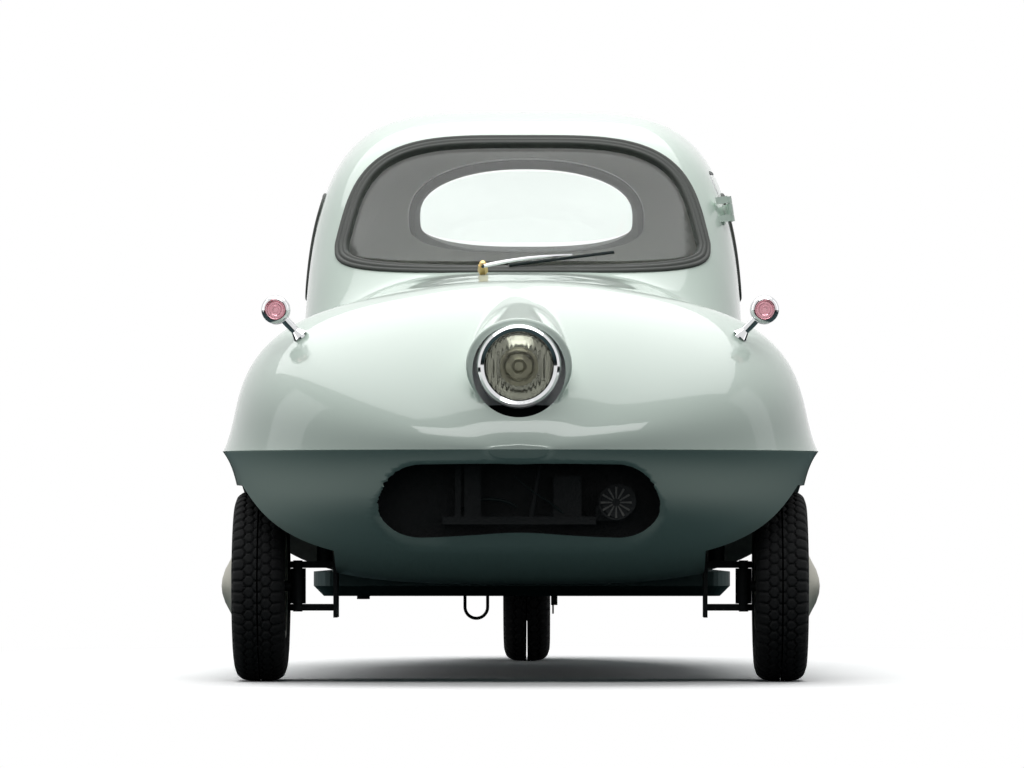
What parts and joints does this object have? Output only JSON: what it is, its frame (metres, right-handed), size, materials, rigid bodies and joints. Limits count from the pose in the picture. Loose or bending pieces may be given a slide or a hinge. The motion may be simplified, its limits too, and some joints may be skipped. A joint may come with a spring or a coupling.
{
  "type": "three wheeled car",
  "caption": "Small egg-shaped enclosed car on three wheels, with steered front wheels, one headlight, a side door and an engine lid.",
  "frame": {"origin": "on the ground under the middle of the car's box", "axes": "nose towards -Y, car's left side towards +X, up +Z"},
  "size_m": [1.262, 2.95, 1.2626],
  "materials": {
    "body_paint": "semi-gloss pale green paint on glass-fibre",
    "dark_paint": "satin dark teal",
    "lining": "matt grey trim",
    "rubber_seal": "ribbed",
    "window_glass": "clear",
    "lens_glass": "fluted",
    "pink_lens": "ringed",
    "red_lens": "gloss",
    "chrome": "aged bright",
    "bright_steel": "dull",
    "dark_steel": "worn black",
    "cast_metal": "dull",
    "wheel_paint": "cream",
    "tyre": "worn",
    "cream_plastic": "cream",
    "dial": "pale dial",
    "seat_cloth": "vinyl-coated cloth"
  },
  "bodies": {
    "body": {"upper_body": "body_paint", "lower_body": "body_paint", "floor_pan": "dark_paint", "seat_frames": "dark_paint", "dashboard": "body_paint", "speedometer": "dial", "rear_bulkhead": "lining", "nose_frame": "dark_paint", "horn": "dark_steel", "body_hinges": "bright_steel", "windscreen": "window_glass", "windscreen_seal": "rubber_seal", "side_glass": "window_glass", "side_seal": "rubber_seal", "rear_window": "window_glass", "rear_window_seal": "rubber_seal", "headlight_bezel": "chrome", "headlight_lens": "lens_glass", "side_lamps": "chrome", "side_lamp_lenses": "pink_lens", "tail_lamps": "red_lens", "number_plate": "bright_steel", "wiper": "dark_steel", "front_suspension": "dark_paint", "front_springs": "dark_steel", "swing_arm": "dark_paint", "rear_springs": "dark_steel", "engine": "cast_metal", "exhaust": "dark_steel", "controls": "dark_paint", "driver_seat": "seat_cloth", "passenger_seat": "seat_cloth", "floor_fittings": "dark_paint"},
    "left_door": {"door": "body_paint", "door_glass": "window_glass", "door_seal": "rubber_seal", "door_leaves": "bright_steel", "door_handle": "chrome"},
    "rear_lid": {"engine_lid": "body_paint", "lid_leaves": "bright_steel"},
    "steering": {"steering_wheel": "cream_plastic"},
    "left_upright": {"knuckle_left": "dark_paint"},
    "right_upright": {"knuckle_right": "dark_paint"},
    "front_left_wheel": {"rim_left": "wheel_paint", "tyre_left": "tyre"},
    "front_right_wheel": {"rim_right": "wheel_paint", "tyre_right": "tyre"},
    "rear_wheel": {"rim_rear": "wheel_paint", "tyre_rear": "tyre"}
  },
  "joints": [
    {"name": "door_hinge", "type": "hinge", "parent": "body", "child": "left_door", "pos_m": [0.45991, -0.247, 1.03], "axis": [0.1543, 0, -0.988], "range_deg": [0, 65]},
    {"name": "lid_hinge", "type": "hinge", "parent": "body", "child": "rear_lid", "pos_m": [0, 1.12201, 0.95456], "axis": [1, 0, 0], "range_deg": [0, 60]},
    {"name": "steering_turn", "type": "hinge", "parent": "body", "child": "steering", "pos_m": [-0.165, -0.335, 0.738], "axis": [0, 0.866, 0.5], "range_deg": [-150, 150]},
    {"name": "left_steer", "type": "hinge", "parent": "body", "child": "left_upright", "pos_m": [0.47, -0.99, 0.2], "axis": [0, 0, 1], "range_deg": [-25.5, 25.5]},
    {"name": "right_steer", "type": "hinge", "parent": "body", "child": "right_upright", "pos_m": [-0.47, -0.99, 0.2], "axis": [0, 0, 1], "range_deg": [-25.5, 25.5]},
    {"name": "front_left_spin", "type": "hinge", "parent": "left_upright", "child": "front_left_wheel", "pos_m": [0.547, -0.99, 0.2], "axis": [1, 0, 0], "continuous": true},
    {"name": "front_right_spin", "type": "hinge", "parent": "right_upright", "child": "front_right_wheel", "pos_m": [-0.547, -0.99, 0.2], "axis": [1, 0, 0], "continuous": true},
    {"name": "rear_spin", "type": "hinge", "parent": "body", "child": "rear_wheel", "pos_m": [0, 1.01, 0.2], "axis": [1, 0, 0], "continuous": true}
  ],
  "couplings": [
    {"joint": "left_steer", "follows": "steering_turn", "ratio": 0.16667},
    {"joint": "right_steer", "follows": "steering_turn", "ratio": 0.16667}
  ]
}
